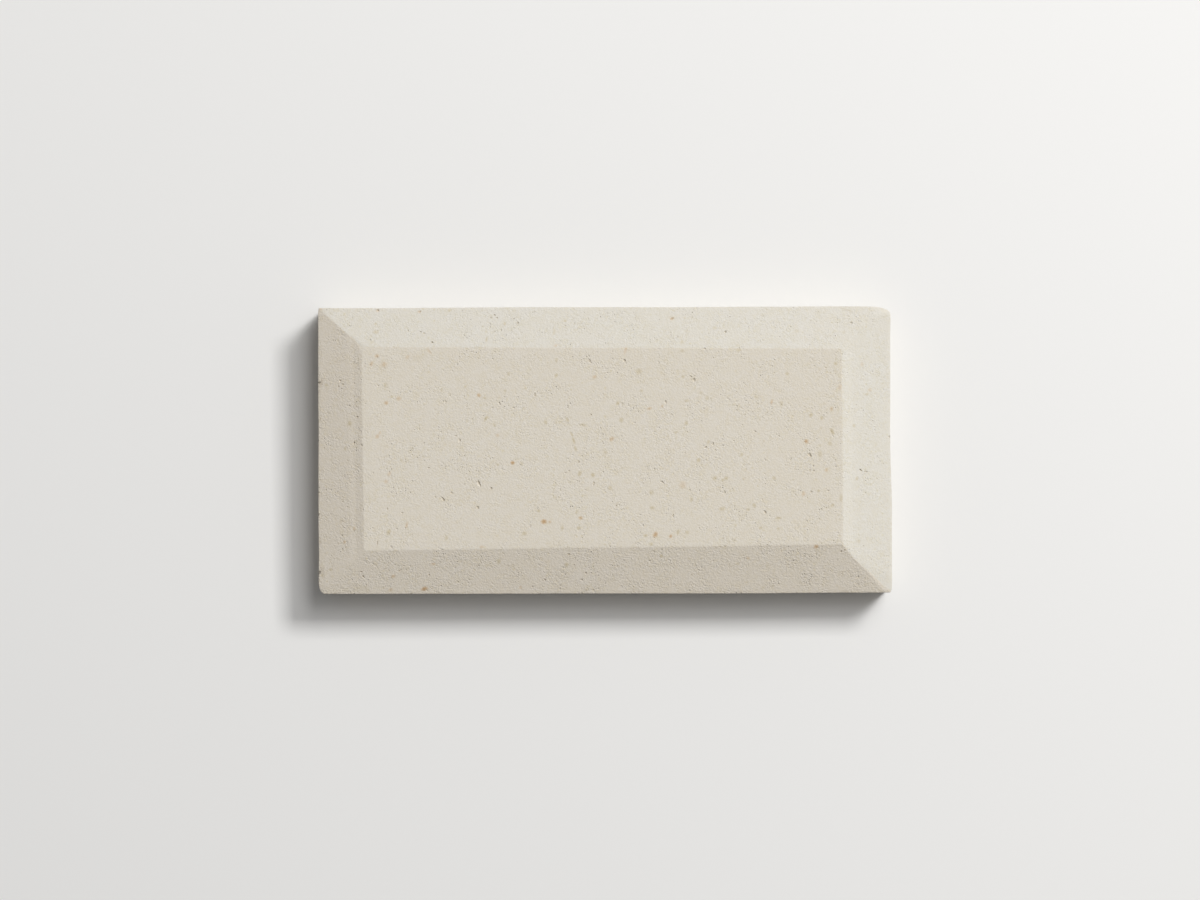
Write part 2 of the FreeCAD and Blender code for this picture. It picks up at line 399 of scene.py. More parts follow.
# Marks of the stone, read off the photograph.
# Each row is pixels across and down, length and width in pixels, turn in degrees, strength.
pitMarks = [
    (459.6, 440.4, 4.4, 3.2, 70, 1.0), (455.4, 435.7, 4.0, 2.0, -10, 0.4), (445.3, 401.4, 4.6, 2.4, -60, 0.7),
    (423.9, 443.3, 3.0, 2.0, 80, 0.7), (499.3, 403.3, 3.8, 2.5, -50, 0.7), (377.9, 385.7, 2.4, 2.2, 0, 0.6),
    (590.0, 361.4, 7.0, 2.7, -60, 1.0), (624.3, 360.7, 3.8, 3.4, 20, 0.9), (534.7, 395.0, 3.6, 2.0, 80, 0.7),
    (590.7, 414.6, 2.4, 2.2, 0, 0.8), (622.1, 404.3, 4.6, 2.0, 80, 0.6), (665.7, 402.1, 4.2, 2.8, -70, 0.7),
    (671.4, 414.7, 3.6, 2.4, -60, 0.5), (634.3, 422.6, 4.0, 1.6, 0, 0.5), (658.6, 362.1, 2.2, 2.0, 0, 0.6),
    (694.0, 380.0, 3.8, 3.4, 30, 1.0), (691.0, 376.7, 3.0, 2.2, -40, 0.8), (704.3, 348.6, 3.0, 2.4, 0, 0.8),
    (712.9, 443.6, 3.6, 2.4, 70, 0.8), (705.7, 447.4, 3.2, 2.6, 10, 0.8), (825.7, 367.9, 3.0, 2.0, 0, 0.4),
    (428.6, 468.0, 3.6, 2.2, 0, 0.8), (478.6, 483.7, 7.6, 4.2, -65, 0.9), (491.1, 488.3, 3.2, 2.9, 0, 1.0),
    (451.4, 493.0, 3.4, 2.6, -40, 0.9), (442.9, 499.1, 5.8, 2.9, -55, 1.0), (435.3, 497.3, 2.6, 2.0, 0, 0.5),
    (477.9, 507.7, 4.2, 2.8, -40, 0.8), (387.1, 509.1, 4.0, 2.0, 85, 0.8), (401.9, 513.0, 3.2, 2.2, 0, 0.7),
    (377.4, 543.0, 6.0, 1.8, 87, 0.9), (391.1, 546.9, 3.8, 2.6, -40, 0.9), (396.6, 529.2, 3.0, 2.2, 40, 0.5),
    (530.4, 525.9, 4.4, 2.0, 70, 0.7), (593.6, 483.7, 5.2, 2.0, 85, 0.9), (569.0, 470.9, 2.8, 2.2, 0, 0.7),
    (578.6, 461.9, 3.6, 2.4, 80, 0.6), (565.2, 472.6, 2.4, 2.0, 0, 0.6), (616.4, 505.9, 3.0, 2.4, 0, 0.6),
    (662.1, 482.3, 6.0, 2.4, -20, 0.7), (672.9, 515.9, 3.6, 2.4, 70, 0.6), (724.3, 492.3, 4.6, 2.6, 75, 0.6),
    (809.7, 455.1, 5.0, 3.4, -50, 1.0), (810.0, 470.1, 2.4, 2.0, 0, 0.9), (814.0, 471.1, 2.4, 2.2, 0, 0.9),
    (813.1, 465.9, 2.2, 2.0, 0, 0.7), (811.1, 492.0, 3.0, 2.6, 0, 0.7), (827.9, 490.9, 3.4, 2.2, 0, 0.5),
    (765.0, 512.3, 4.2, 2.9, -60, 0.9), (755.0, 431.4, 3.8, 2.4, -20, 0.4), (807.4, 498.0, 2.2, 2.0, 0, 0.5),
    # on the bevels
    (377.8, 310.6, 3.4, 3.0, 0, 0.7), (419.5, 311.7, 3.0, 2.6, 0, 0.5), (432.0, 342.3, 2.7, 2.6, 0, 1.0),
    (420.7, 332.0, 2.4, 2.0, 0, 0.7), (424.0, 333.4, 2.2, 1.8, 0, 0.6), (494.6, 315.2, 3.0, 2.2, 30, 0.7),
    (491.2, 317.6, 2.4, 2.0, 0, 0.6), (497.0, 317.8, 2.4, 1.8, 0, 0.6), (501.0, 330.0, 2.6, 2.2, 80, 0.6),
    (517.7, 322.8, 2.6, 2.5, 0, 0.8), (672.0, 318.5, 3.4, 2.2, 30, 0.4), (725.3, 331.7, 3.3, 3.0, 0, 1.0),
    (851.2, 322.7, 3.0, 2.8, 0, 0.4), (340.0, 381.0, 3.0, 2.6, 40, 0.6), (343.0, 384.6, 2.6, 2.2, 0, 0.5),
    (338.4, 386.4, 2.4, 2.0, 0, 0.45), (341.6, 389.0, 2.4, 2.0, 30, 0.4), (357.3, 417.1, 3.0, 2.4, 20, 0.8),
    (361.4, 445.2, 3.0, 2.6, 0, 0.8), (354.0, 442.9, 3.0, 2.2, 60, 0.8), (341.6, 535.4, 2.6, 2.4, 0, 0.4),
    (363.2, 576.3, 2.8, 2.5, 0, 0.9), (361.2, 571.8, 3.0, 1.8, 0, 0.8), (399.8, 570.5, 3.8, 2.0, 50, 0.5),
    (569.0, 554.3, 2.8, 2.6, 0, 1.0), (544.8, 579.7, 3.4, 2.2, -30, 0.8), (532.3, 586.7, 2.6, 2.2, 0, 0.6),
    (585.7, 573.0, 2.8, 2.4, 60, 0.7), (581.5, 579.7, 3.2, 2.2, 10, 0.7), (593.4, 590.0, 2.6, 2.0, 0, 0.7),
    (429.0, 574.7, 2.8, 2.0, 40, 0.6), (841.0, 551.6, 3.0, 2.4, 30, 0.9), (844.6, 550.2, 2.4, 2.0, 0, 0.7),
    (860.6, 470.3, 5.2, 1.9, -25, 1.0), (865.9, 471.7, 4.2, 1.6, -6, 0.7),
]
rustMarks = [
    (376.9, 355.8, 5.0, 4.2, 0, 0.6), (371.4, 363.9, 5.4, 4.0, 80, 0.55), (384.0, 363.9, 5.0, 4.0, 80, 0.5),
    (407.6, 357.1, 5.0, 4.0, 60, 0.4), (429.3, 351.4, 7.0, 3.0, -50, 0.45), (398.6, 398.6, 5.6, 5.0, 0, 0.5),
    (386.3, 402.9, 4.6, 4.2, 20, 0.7), (377.4, 436.4, 5.0, 4.0, 60, 0.6), (380.0, 432.9, 4.0, 3.0, 70, 0.4),
    (478.9, 395.3, 4.6, 4.2, -40, 0.7), (497.4, 435.4, 4.2, 3.6, 90, 0.4), (512.6, 462.7, 4.4, 4.2, 0, 1.0),
    (625.6, 349.6, 9.0, 3.2, 75, 0.5), (594.6, 376.7, 5.0, 3.4, 10, 0.55), (649.3, 408.6, 5.8, 3.6, 30, 0.55),
    (662.1, 406.4, 3.6, 3.0, 80, 0.5), (611.7, 439.0, 6.0, 4.6, 50, 0.65), (771.7, 402.1, 6.0, 2.8, 80, 0.6),
    (831.4, 408.9, 4.6, 3.4, 80, 0.6), (806.4, 441.4, 5.2, 4.4, -60, 0.8), (839.8, 387.1, 7.0, 4.0, 85, 0.4),
    (389.3, 473.7, 6.0, 3.6, 80, 0.4), (386.1, 481.6, 4.4, 4.0, 0, 0.45), (406.7, 525.1, 7.0, 3.0, 80, 0.55),
    (481.7, 547.0, 4.8, 3.6, 10, 0.45), (543.9, 521.6, 6.6, 5.2, 0, 1.0), (549.6, 521.9, 3.6, 3.0, 0, 0.6),
    (580.7, 518.0, 4.6, 4.0, 0, 0.75), (682.9, 485.1, 8.4, 7.0, 80, 0.4), (655.3, 534.7, 6.8, 5.0, 60, 0.85),
    (670.7, 536.3, 4.2, 3.6, 60, 0.8), (816.2, 546.6, 5.2, 4.8, 40, 0.8), (803.6, 493.7, 5.8, 4.0, 80, 0.5),
    (826.4, 470.1, 4.6, 3.6, 80, 0.5), (555.6, 345.7, 4.2, 3.4, 30, 0.45), (869.8, 390.0, 4.6, 4.0, 0, 0.35),
    (433.2, 563.8, 5.4, 2.4, 0, 0.6), (393.2, 576.3, 4.8, 3.6, 30, 0.6), (424.5, 588.8, 7.4, 4.6, 20, 1.0),
    (390.7, 589.7, 5.0, 3.8, 40, 0.5), (747.8, 558.2, 4.2, 2.8, -20, 0.5), (344.4, 542.1, 4.2, 3.4, 70, 0.55),
    (354.1, 528.6, 4.2, 3.2, 80, 0.45), (862.0, 364.3, 4.6, 3.6, 80, 0.35), (520.7, 587.2, 4.2, 3.2, 80, 0.45),
    (320.6, 309.6, 4.0, 3.0, 60, 0.5), (419.5, 311.7, 4.0, 3.4, 0, 0.4), (672.0, 318.5, 5.2, 3.2, 30, 0.55),
    (377.8, 310.6, 4.2, 3.6, 0, 0.3),
]
tanMarks = [
    (385.4, 385.3, 4.2, 3.6, 90, 0.8), (391.7, 396.7, 3.2, 2.8, 0, 0.8), (484.6, 397.9, 4.4, 2.8, -20, 0.7),
    (465.4, 386.4, 3.2, 3.0, 0, 0.6), (441.7, 390.0, 5.2, 3.0, 80, 0.5), (505.1, 391.0, 4.2, 3.2, 80, 0.6),
    (508.6, 373.6, 4.2, 3.0, 60, 0.6), (485.7, 418.6, 6.4, 2.6, 60, 1.0), (494.3, 425.3, 4.2, 3.0, -60, 0.7),
    (467.1, 421.0, 4.2, 4.0, 0, 0.4), (556.4, 360.7, 6.0, 3.0, 80, 0.5), (556.4, 375.4, 4.6, 3.4, 70, 0.8),
    (617.9, 403.1, 4.2, 3.6, 80, 0.9), (638.9, 371.4, 7.4, 6.4, 0, 0.7), (683.1, 376.7, 4.2, 3.2, 0, 0.8),
    (641.4, 390.7, 4.2, 3.0, 0, 0.6), (621.4, 420.0, 5.2, 4.6, 90, 0.8), (686.4, 422.9, 5.2, 3.6, 80, 0.8),
    (675.7, 432.4, 4.2, 2.6, 10, 0.7), (583.3, 425.0, 8.0, 3.0, -10, 0.7), (545.7, 422.1, 5.0, 3.4, -60, 0.7),
    (682.1, 350.7, 4.2, 4.0, 0, 0.6), (686.4, 400.7, 5.2, 3.2, 0, 0.6), (567.5, 419.7, 5.6, 2.6, -60, 0.8),
    (571.6, 434.0, 6.0, 2.6, -62, 0.9), (573.7, 440.6, 7.6, 2.6, -72, 1.0), (575.4, 448.6, 6.4, 2.6, -80, 0.8),
    (738.6, 350.0, 5.2, 3.0, 0, 0.7), (835.7, 363.6, 4.6, 4.0, -50, 0.8), (787.1, 373.6, 4.2, 3.6, -30, 0.7),
    (781.4, 403.6, 5.2, 4.0, 80, 0.6), (755.7, 397.1, 5.2, 3.0, -20, 0.5), (811.1, 415.0, 4.8, 4.0, 60, 0.9),
    (821.7, 418.1, 4.2, 3.2, 80, 0.9), (832.1, 431.4, 8.0, 3.6, -60, 1.0), (830.0, 443.6, 5.2, 4.0, -60, 0.7),
    (707.1, 397.9, 5.2, 4.0, 70, 0.5), (700.7, 392.9, 4.2, 3.6, 0, 0.5), (708.6, 442.1, 4.2, 3.2, 80, 0.7),
    (524.3, 533.4, 5.2, 4.2, 20, 0.8), (521.4, 463.7, 5.2, 4.2, 70, 0.5), (497.9, 464.9, 3.8, 3.0, 80, 0.6),
    (446.4, 538.0, 6.0, 3.6, 70, 0.6), (388.6, 532.3, 7.0, 4.2, 75, 0.8), (401.1, 460.6, 4.2, 2.6, 80, 0.5),
    (538.6, 510.9, 4.2, 2.8, -10, 1.0), (578.6, 528.0, 4.4, 4.0, 0, 0.8), (562.4, 528.0, 5.2, 3.6, 80, 0.7),
    (576.4, 512.3, 4.2, 2.6, 80, 0.7), (579.6, 473.7, 6.0, 4.0, 70, 0.9), (592.9, 474.9, 4.8, 3.8, -50, 1.0),
    (575.7, 449.4, 5.0, 3.6, 80, 0.4), (605.7, 452.3, 4.4, 4.0, 0, 0.7), (610.0, 488.0, 5.2, 4.2, 80, 0.7),
    (651.4, 492.3, 6.0, 5.6, 0, 0.6), (652.1, 508.0, 4.8, 3.6, 0, 0.8), (677.9, 532.0, 4.8, 3.2, 80, 0.9),
    (687.1, 532.3, 4.6, 4.2, 0, 0.7), (645.7, 535.4, 4.4, 3.2, 0, 0.8), (651.4, 544.0, 4.2, 4.0, 0, 0.7),
    (820.0, 454.4, 8.0, 5.2, 85, 0.6), (818.6, 490.9, 3.4, 3.0, 0, 0.8), (832.6, 505.1, 4.2, 3.6, 0, 0.8),
    (841.2, 498.0, 9.0, 3.6, 88, 0.6), (715.0, 478.0, 4.2, 3.6, 0, 0.9), (722.9, 480.1, 3.4, 3.0, 0, 0.8),
    (726.0, 478.3, 4.2, 4.0, 0, 0.9), (743.6, 478.7, 3.2, 3.0, 0, 0.6), (698.6, 460.1, 4.8, 4.2, 60, 0.9),
    (741.7, 454.7, 4.2, 3.2, 80, 0.8), (774.0, 478.0, 4.2, 4.0, 0, 0.7), (691.4, 499.4, 6.0, 3.2, 80, 0.7),
    (722.1, 508.7, 7.0, 4.2, 0, 0.7), (754.3, 505.4, 5.2, 4.0, -60, 0.8), (747.9, 509.7, 4.2, 3.2, 0, 0.7),
    (778.6, 518.0, 6.2, 2.8, 0, 0.9), (760.7, 528.0, 4.2, 3.6, 0, 0.7), (778.3, 528.7, 3.6, 3.0, 0, 0.6),
    # on the bevels
    (375.7, 332.0, 6.0, 4.0, 0, 0.7), (375.7, 323.7, 3.4, 3.0, 0, 0.6), (449.8, 310.2, 4.4, 2.8, 0, 0.7),
    (504.8, 323.7, 4.2, 2.6, 80, 0.7), (486.5, 339.5, 6.0, 2.6, 80, 0.6), (565.3, 320.8, 3.2, 2.8, 0, 0.7),
    (554.0, 332.0, 6.0, 2.8, 80, 0.5), (682.0, 341.8, 5.0, 3.0, 80, 0.5), (714.5, 327.7, 5.2, 4.2, 0, 0.4),
    (796.7, 331.0, 5.2, 4.2, 0, 0.4), (843.7, 332.2, 4.2, 4.0, 0, 0.4), (349.4, 423.6, 5.2, 4.0, 70, 0.8),
    (326.3, 385.0, 4.2, 3.6, 0, 0.7), (340.9, 521.4, 6.0, 3.2, 85, 0.5), (345.1, 448.6, 4.2, 3.2, 80, 0.6),
    (330.7, 569.7, 4.2, 3.2, 0, 0.7), (499.0, 561.3, 6.0, 3.6, 75, 0.8), (566.5, 564.7, 5.2, 4.2, 60, 0.7),
    (661.2, 556.2, 4.2, 3.2, 80, 0.8), (737.8, 563.7, 4.2, 3.2, 0, 0.6), (867.0, 394.3, 3.4, 3.0, 0, 0.6),
    (854.1, 425.7, 3.8, 3.2, 80, 0.6), (857.0, 478.6, 4.2, 3.2, 80, 0.7), (859.1, 541.4, 4.6, 3.6, 80, 0.5),
    # wide, faint patches of the field
    (381.0, 368.0, 15.0, 11.0, 20, 0.16), (386.4, 387.0, 10.0, 6.0, 80, 0.2),
    (418.0, 357.0, 17.0, 8.0, 0, 0.18),
    # along the lower edge
    (586.8, 589.4, 4.2, 3.0, 0, 0.6), (346.6, 589.6, 5.0, 4.0, 0, 0.3), (358.0, 588.0, 15.0, 6.0, 0, 0.28),
    (367.4, 590.4, 5.0, 3.4, 0, 0.3),
]

# Nicks of the outer edge that show in the outline: pixels across and down, width in mm
edgeNicks = [(319.4, 572.8, 1.1), (319.3, 383.0, 0.8), (343.4, 593.6, 0.8), (889.6, 437.0, 0.8)]

# Loose pits that fill in between the marks above, how the marks are cut, and each bevel's painted light cast
wearAndPaintedLight = {
    "seed": 31,
    "faceClusters": 22,          # groups of small pits on the face
    "perCluster": (3, 7),
    "clusterReach": 3.2,         # mm
    "loosePits": 60,
    "bevelPits": 170,            # tries for more of them, kept only on the bevels
    "pitWidth": (0.24, 0.48),    # mm
    "foldClear": 1.2,            # mm of each hip and field edge kept free of loose pits
    "edgeClear": 1.2,            # mm inside the outline kept free of loose pits
    "markClear": (0.7, 0.6),     # mm that marks keep from the short and the long sides of the box
    "sidePits": 170,
    "sideClear": 0.9,            # mm of each side kept free of pits at the top and the back
    "sidePitWidth": (0.3, 0.95),
    "backPits": 26,
    "backPitWidth": (0.4, 1.1),
    "backSpread": 0.95,          # of the back that they lie in
    "edgeChips": 44,
    "chipShares": (0.5, 0.1, 2.0, 1.1),  # of the chips on the upper, right, lower and left edge
    "chipWidth": (0.35, 0.9),
    "pitDepth": 0.33,            # of the pit's width
    "bevelPitDepth": 0.44,       # the same on the bevels
    "skin": 0.018,               # depth of the shallow lens under a speck
    "lumpRough": {"pit": 0.5, "stain": 0.12, "loose": 0.45},
    "lumpLift": {"pit": 0.12, "loose": 0.1},  # of its depth that a lump stands out of the face
    "fineWidth": 0.5,            # mm, wider loose pits are cut by finer lumps
    # how coarse each bevel's grain is against the field's
    "coarse": {"upper": 1.02, "right": 0.88, "lower": 1.62, "left": 1.27},
    "paintedLightCast": {                    # painted light: colour cast of each bevel beside the field, greyer and darker on the lit upper and right bevels, warmer on the shaded lower and left ones
        "upper": (0.952, 0.977, 1.008),
        "right": (0.969, 0.997, 1.03),
        "lower": (1.018, 1.004, 0.994),
        "left": (1.012, 0.998, 0.991),
    },
}


def blob(bm, centre, normal, along, size, detail, rough, draw):
    # irregular lump that the tile is cut with: size is half the length, width and depth
    aside = normal.cross(along).normalized()
    ahead = aside.cross(normal)
    turn = Matrix((ahead, aside, normal)).transposed()
    made = bmesh.ops.create_icosphere(bm, subdivisions=detail, radius=1)
    shift = Vector((draw.uniform(-50, 50), draw.uniform(-50, 50), draw.uniform(-50, 50)))
    for vert in made["verts"]:
        swell = 1 + rough * noise.noise(vert.co * 1.3 + shift)
        swell += rough * 0.5 * noise.noise(vert.co * 3 + shift)
        local = Vector((vert.co.x * size[0], vert.co.y * size[1], vert.co.z * size[2])) * swell
        vert.co = (centre + turn @ local) * mm


def markPlace(mark):
    # centre on the face, normal, direction and half sizes of a mark in mm
    across, down, length, width, turn, strength = mark
    x, y = onTile(across, down, surfaceAt(*onTile(across, down)) - edgeLevel)
    clearX, clearY = wearAndPaintedLight["markClear"]
    limitX, limitY = halfLong - clearX, halfShort - clearY
    x, y = max(-limitX, min(limitX, x)), max(-limitY, min(limitY, y))
    angle = math.radians(turn)
    return (Vector((x, y, surfaceAt(x, y))), normalAt(x, y), Vector((math.cos(angle), math.sin(angle), 0)),
            length / 2 / photo["pixelsPerMm"], width / 2 / photo["pixelsPerMm"], strength)


def sidePlace(draw, margin, shares=(2, 1, 2, 1)):
    # a point along one of the four upright sides, the height of its edge, and the way out of it
    side = draw.choices(sideOrder, shares)[0]
    along = draw.uniform(margin, 1 - margin)
    x, y = insideBox(side, along, outerInset(side, along))
    return x, y, thick - edgeDrop(side, along), Vector(outward[side])


def faceName(x, y):
    side, drop = lowestSide(x, y)
    return side if drop > 0.012 else "field"


def nearFold(x, y):
    # whether a hip or the field's edge passes close by
    clear = wearAndPaintedLight["foldClear"]
    around = ((clear, 0), (-clear, 0), (0, clear), (0, -clear))
    return any(faceName(x + dx, y + dy) != faceName(x, y) for dx, dy in around)


def loosePlaces(draw):
    # centres, normals and widths of the pits that no mark stands for
    places = []

    def onFace(x, y, width):
        clear = wearAndPaintedLight["edgeClear"]
        if abs(x) < halfLong - clear and abs(y) < halfShort - clear and not nearFold(x, y):
            places.append((Vector((x, y, surfaceAt(x, y))), normalAt(x, y), width))

    reach = wearAndPaintedLight["clusterReach"]
    for _ in range(wearAndPaintedLight["faceClusters"]):
        x, y = draw.uniform(-halfLong, halfLong), draw.uniform(-halfShort, halfShort)
        for _ in range(draw.randint(*wearAndPaintedLight["perCluster"])):
            onFace(x + draw.gauss(0, reach), y + draw.gauss(0, reach * 0.7), draw.uniform(*wearAndPaintedLight["pitWidth"]))
    for _ in range(wearAndPaintedLight["loosePits"]):
        x, y = draw.uniform(-halfLong, halfLong), draw.uniform(-halfShort, halfShort)
        onFace(x, y, draw.uniform(*wearAndPaintedLight["pitWidth"]) * 0.9)
    for _ in range(wearAndPaintedLight["bevelPits"]):
        x, y = draw.uniform(-halfLong, halfLong), draw.uniform(-halfShort, halfShort)
        width = draw.uniform(*wearAndPaintedLight["pitWidth"])
        if faceName(x, y) != "field":
            onFace(x, y, width)
    for _ in range(wearAndPaintedLight["sidePits"]):
        x, y, top, out = sidePlace(draw, 0.03)
        width = draw.uniform(*wearAndPaintedLight["sidePitWidth"]) * draw.uniform(0.6, 1)
        places.append((Vector((x, y, draw.uniform(wearAndPaintedLight["sideClear"], top - wearAndPaintedLight["sideClear"]))), out, width))
    for across, down, width in edgeNicks:
        x, y = onTile(across, down)
        insets = boxInsets(x, y)
        side = min(insets, key=insets.get)
        out = Vector(outward[side]) + Vector((0, 0, 1))
        top = thick - edgeDrop(side, alongSide(side, x, y))
        places.append((Vector((x, y, top)), out.normalized(), width))
    for _ in range(wearAndPaintedLight["edgeChips"]):
        x, y, top, out = sidePlace(draw, 0.04, wearAndPaintedLight["chipShares"])
        width = draw.uniform(*wearAndPaintedLight["chipWidth"]) * draw.uniform(0.5, 1)
        places.append((Vector((x, y, top)), (out + Vector((0, 0, 1))).normalized(), width))
    spread = wearAndPaintedLight["backSpread"]
    for _ in range(wearAndPaintedLight["backPits"]):
        x, y = draw.uniform(-spread, spread) * halfLong, draw.uniform(-spread, spread) * halfShort
        places.append((Vector((x, y, 0)), Vector((0, 0, -1)), draw.uniform(*wearAndPaintedLight["backPitWidth"])))
    return places


def depthShare(centre, normal):
    isBevel = normal.z > 0.5 and faceName(centre.x, centre.y) != "field"
    return wearAndPaintedLight["bevelPitDepth" if isBevel else "pitDepth"]


def cutMarks():
    # layers of lumps to cut away, clear of each other in a layer, with what is needed to colour each one
    draw = random.Random(wearAndPaintedLight["seed"])
    rough, lift = wearAndPaintedLight["lumpRough"], wearAndPaintedLight["lumpLift"]
    layers = []
    pitDirtAndShades, stains = [], {"rust": [], "tan": []}

    def isFree(layer, centre, reach):
        return all((centre - other).length > reach + span for other, span in layer["taken"])

    def layerFor(centre, reach):
        for layer in layers:
            if isFree(layer, centre, reach):
                break
        else:
            layer = {"lumps": bmesh.new(), "taken": []}
            layers.append(layer)
        layer["taken"].append((centre, reach))
        return layer["lumps"]

    for mark in pitMarks:
        centre, normal, along, halfLength, halfWidth, strength = markPlace(mark)
        share = depthShare(centre, normal)
        depth = halfWidth * 2 * share * (0.5 + 0.6 * strength)
        lumps = layerFor(centre, halfLength * 1.3)
        size = (halfLength, halfWidth, depth)
        blob(lumps, centre + normal * depth * lift["pit"], normal, along, size, 2, rough["pit"], draw)
        pitDirtAndShades.append((centre, halfLength * 1.5, normal, depth, strength * share / wearAndPaintedLight["pitDepth"]))
    for kind, marks in (("rust", rustMarks), ("tan", tanMarks)):
        for mark in marks:
            centre, normal, along, halfLength, halfWidth, strength = markPlace(mark)
            stains[kind].append((centre, normal, along, halfLength, halfWidth, strength))
            skin = (halfLength * 1.45, halfWidth * 1.45, wearAndPaintedLight["skin"])
            lumps = layerFor(centre, halfLength * 1.6)
            blob(lumps, centre, normal, along, skin, 2, rough["stain"], draw)
    for centre, normal, width in loosePlaces(draw):
        if isFree(layers[0], centre, width * 0.85):
            along = Vector((draw.uniform(-1, 1), draw.uniform(-1, 1), draw.uniform(-1, 1)))
            depth = width * depthShare(centre, normal) * draw.uniform(0.5, 1)
            size = (width / 2 * draw.uniform(0.9, 1.5), width / 2, depth)
            lumps = layerFor(centre, width * 0.85)
            detail = 2 if width > wearAndPaintedLight["fineWidth"] else 1
            lifted = centre + normal * depth * lift["loose"]
            blob(lumps, lifted, normal, along, size, detail, rough["loose"], draw)
            pitDirtAndShades.append((centre, width, normal, depth, draw.uniform(0.3, 0.9)))
    meshes = []
    for layer in layers:
        meshes.append(bpy.data.meshes.new("lumps"))
        layer["lumps"].to_mesh(meshes[-1])
        layer["lumps"].free()
    return meshes, pitDirtAndShades, stains


def applied():
    return bpy.data.meshes.new_from_object(tile.evaluated_get(bpy.context.evaluated_depsgraph_get()))


def cutTile(lumpMeshes):
    blank = bpy.data.objects.new("blank", tile.data)
    bpy.context.collection.objects.link(blank)
    helpers = [blank]
    for lumpMesh in lumpMeshes:
        lumps = bpy.data.objects.new("lumps", lumpMesh)
        bpy.context.collection.objects.link(lumps)
        helpers.append(lumps)
        cut = tile.modifiers.new("pits", "BOOLEAN")
        cut.operation = "DIFFERENCE"
        cut.solver = "MANIFOLD"
        cut.object = lumps
    pitted = applied()
    tile.modifiers.clear()
    tile.data = pitted
    keepShading(blank)
    for helper in helpers:
        spent = helper.data
        bpy.data.objects.remove(helper)
        bpy.data.meshes.remove(spent)
    tile.data.name = "limestoneTile"


def keepShading(blank):
    # points still on the blank's skin keep its normals, so that the cuts leave no smudges
    skinned = BVHTree.FromObject(blank, bpy.context.evaluated_depsgraph_get())
    close = 0.03 * mm
    onSkin = [v.index for v in tile.data.vertices if skinned.find_nearest(v.co, close)[0]]
    skin = tile.vertex_groups.new(name="skin")
    skin.add(onSkin, 1.0, "REPLACE")
    carry = tile.modifiers.new("shading", "DATA_TRANSFER")
    carry.object = blank
    carry.use_loop_data = True
    carry.data_types_loops = {"CUSTOM_NORMAL"}
    carry.loop_mapping = "POLYINTERP_NEAREST"
    carry.vertex_group = "skin"
    shaded = applied()
    tile.modifiers.clear()
    tile.vertex_groups.clear()
    before = tile.data
    tile.data = shaded
    bpy.data.meshes.remove(before)


def numbersOf(items, name, width=1):
    # one property of every vertex, face or corner, as rows of numbers
    found = np.empty(len(items) * width)
    items.foreach_get(name, found)
    return found.reshape(-1, width)


def paintMarks(pitDirtAndShades, stains):
    # how rusty, tan or coarse each point of the mesh is, how much brown dirt and painted shade lies in its
    # pits, and its bevel's painted light cast
    mesh = tile.data
    places = numbersOf(mesh.vertices, "co", 3) / mm
    amounts = {name: np.zeros(len(places)) for name in ("rust", "tan", "pitDirtAndShade")}
    faces = [faceName(x, y) for x, y, z in places]
    amounts["coarse"] = np.array([wearAndPaintedLight["coarse"].get(face, 1) for face in faces])
    # painted light: each bevel's colour cast, greyer where it faces the lamps and warmer where it faces away
    paintedLightCasts = np.array([wearAndPaintedLight["paintedLightCast"].get(face, (1, 1, 1)) for face in faces])
    for kind, marks in stains.items():
        for centre, normal, along, halfLength, halfWidth, strength in marks:
            offset = places - np.array(centre)
            ahead = offset @ np.array(along)
            aside = offset @ np.array(normal.cross(along).normalized())
            away = np.sqrt((ahead / halfLength) ** 2 + (aside / halfWidth) ** 2)
            near = (np.abs(offset @ np.array(normal)) < 0.6) & (away < 1.5)
            fade = np.clip((1.25 - away[near]) / 0.85, 0, 1)
            amounts[kind][near] = np.maximum(amounts[kind][near], strength * fade * fade * (3 - 2 * fade))
    # brown dirt and painted shade in the pits, darker towards their bottoms
    for centre, reach, normal, depth, strength in pitDirtAndShades:
        offset = places - np.array(centre)
        sunk = -(offset @ np.array(normal)) / depth
        near = (np.einsum("ij,ij->i", offset, offset) < (reach + depth) ** 2) & (sunk > 0.08)
        deep = np.clip(sunk[near] * 2.5 - 1.3, 0, 1) * (0.4 + 0.6 * strength)
        amounts["pitDirtAndShade"][near] = np.maximum(amounts["pitDirtAndShade"][near], deep)
    for name, values in amounts.items():
        layer = mesh.attributes.new(name, "FLOAT", "POINT")
        layer.data.foreach_set("value", values.astype(np.float32))
    paintedLightTone = mesh.attributes.new("paintedLightCast", "FLOAT_VECTOR", "POINT")
    paintedLightTone.data.foreach_set("vector", paintedLightCasts.astype(np.float32).ravel())


# Flat texture map, in shares of its square
bakeMap = {
    "width": 0.98,           # taken by the face
    "smaller": 0.6,          # scale of the back and the sides against the face
    "edge": 0.01,            # where the face, the back and the long sides begin
    "shortEdge": 0.64,       # where the short sides begin
    "faceBase": 0.505,
    "backBase": 0.18,
    "sideBases": (0.02, 0.1),
    "seam": 0.3,             # mm from the back and from the lowest edge to the sides
}


